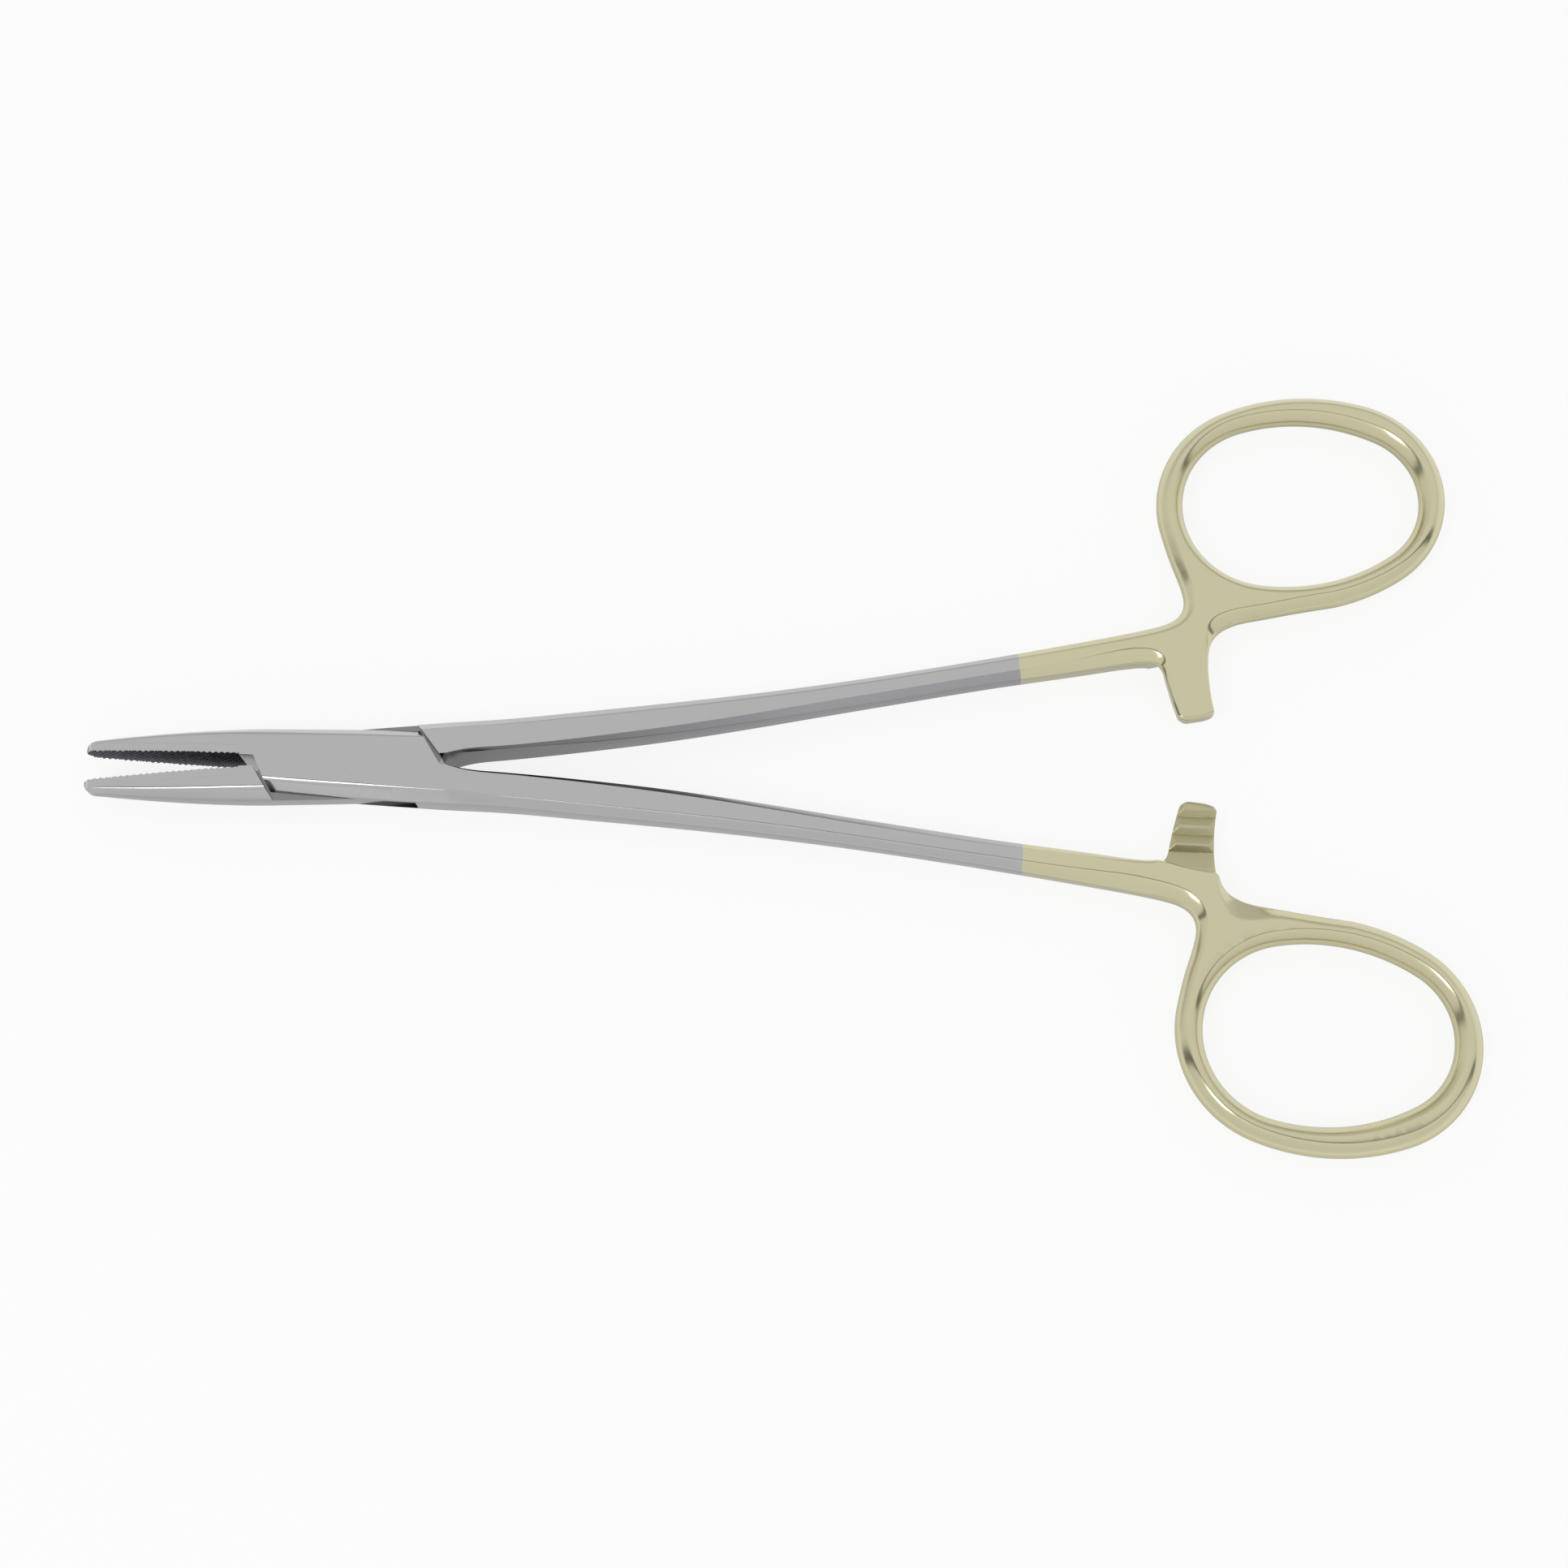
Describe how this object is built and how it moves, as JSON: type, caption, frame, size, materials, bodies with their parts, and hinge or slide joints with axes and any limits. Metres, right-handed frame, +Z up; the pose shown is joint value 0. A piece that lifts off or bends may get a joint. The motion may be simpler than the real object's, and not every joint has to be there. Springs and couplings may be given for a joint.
{
  "type": "surgical needle holder",
  "caption": "Ring-handled surgical needle holder with a box lock, toothed ratchet arms, gold-plated handles and short straight jaws with diamond-cut carbide inserts.",
  "frame": {"origin": "on the pivot axis, at the flat underside of the box lock on which the instrument lies", "axes": "+X from the pivot to the finger rings, along the middle line between the halves; +Y to the side of the tongue half's ring; +Z up, along the pivot axis"},
  "size_m": [0.1586, 0.0908, 0.0058],
  "materials": {
    "forged_steel": "polished stainless steel, gold-plated over the rear of the shanks, the ratchet arms and the rings",
    "pin_steel": "polished flush with the box",
    "carbide": "ground tungsten carbide with crossed grooves"
  },
  "bodies": {
    "box_side": {"box_half": "forged_steel", "pivot_pin": "pin_steel", "upper_jaw_insert": "carbide"},
    "tongue_side": {"tongue_half": "forged_steel", "lower_jaw_insert": "carbide"}
  },
  "joints": [
    {"name": "box_lock_hinge", "type": "hinge", "parent": "box_side", "child": "tongue_side", "pos_m": [0, 0, 0], "axis": [0, 0, 1], "range_deg": [-5.9, 34]}
  ]
}
